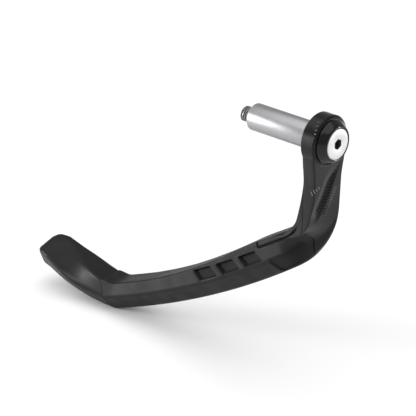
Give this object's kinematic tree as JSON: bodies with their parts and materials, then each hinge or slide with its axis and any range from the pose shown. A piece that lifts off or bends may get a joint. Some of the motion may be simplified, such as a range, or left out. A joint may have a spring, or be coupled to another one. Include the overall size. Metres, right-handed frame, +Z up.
{
  "type": "clutch lever guard",
  "caption": "Bar-end clutch lever guard: ring-headed metal arm, bolt and sleeve for the handlebar bore, and a curved moulded blade with an end cap.",
  "frame": {"origin": "on the handlebar axis, at the ring face that the handlebar end meets", "axes": "+X out of the bar end along the bar axis, +Z up from the arm to the ring, the blade runs towards -X"},
  "size_m": [0.2005, 0.027, 0.1506],
  "materials": {
    "black_anodised": "satin black anodised",
    "black_nylon": "satin moulded nylon",
    "cap_nylon": "satin moulded nylon",
    "collar_black": "gloss black anodised",
    "bolt_steel": "bright faced steel",
    "sleeve_aluminium": "turned bare aluminium",
    "screw_steel": "plain steel"
  },
  "bodies": {
    "root": {"arm": "black_anodised", "blade": "black_nylon", "end_cap": "cap_nylon", "collar": "collar_black", "clamp_bolt": "bolt_steel", "sleeve": "sleeve_aluminium", "blade_screws": "screw_steel"}
  },
  "joints": []
}
